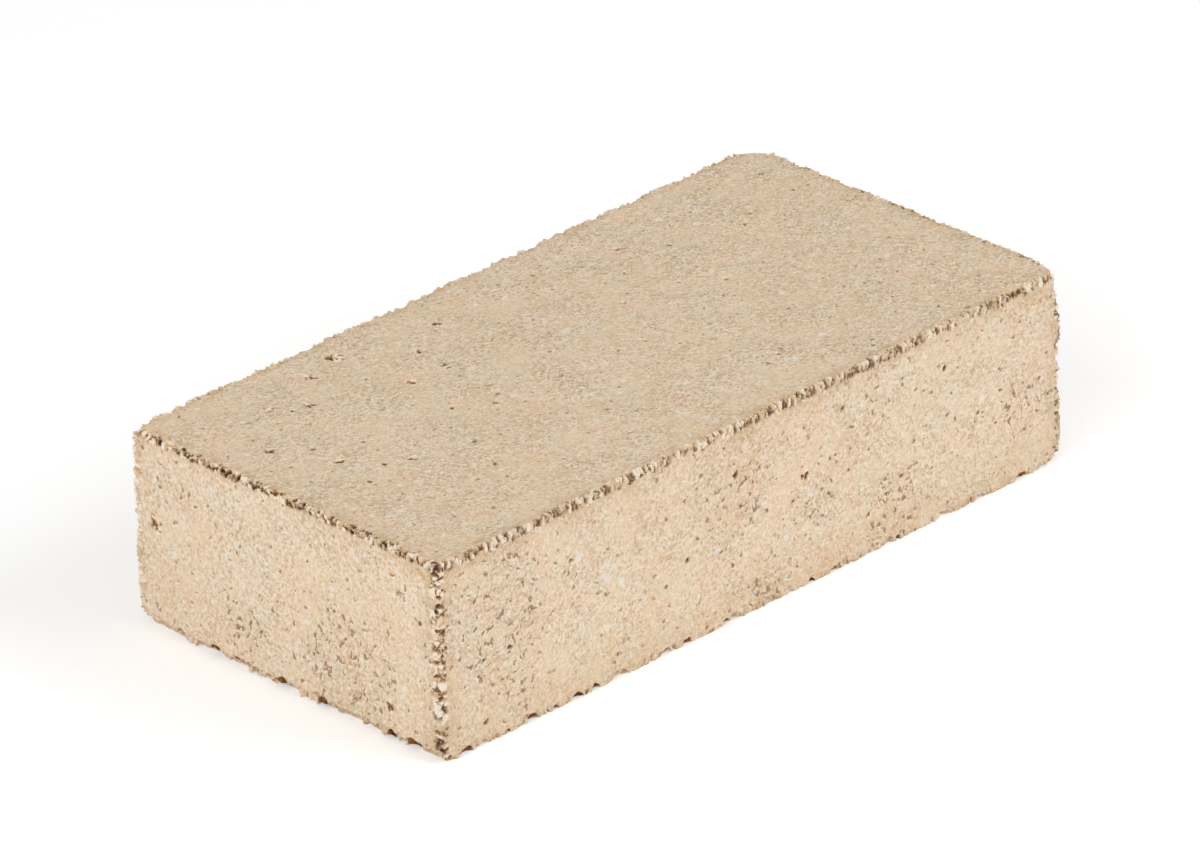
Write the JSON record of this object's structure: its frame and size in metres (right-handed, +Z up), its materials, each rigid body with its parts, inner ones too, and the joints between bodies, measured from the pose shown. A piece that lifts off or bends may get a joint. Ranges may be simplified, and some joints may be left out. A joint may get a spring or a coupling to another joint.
{
  "type": "fire brick",
  "caption": "Rectangular fired clay block with flat bed, stretcher and header faces, crumbled arrises and broken corners, for laying in heat-resisting linings.",
  "frame": {"origin": "middle of the bed face that the brick lies on", "axes": "+X along the length, +Y across the width, +Z up from the lower bed to the upper bed"},
  "size_m": [0.23, 0.114, 0.057],
  "materials": {
    "fired_clay": "unglazed, matt and pitted, with pale grog grains"
  },
  "bodies": {
    "root": {"fire_brick": "fired_clay"}
  },
  "joints": []
}
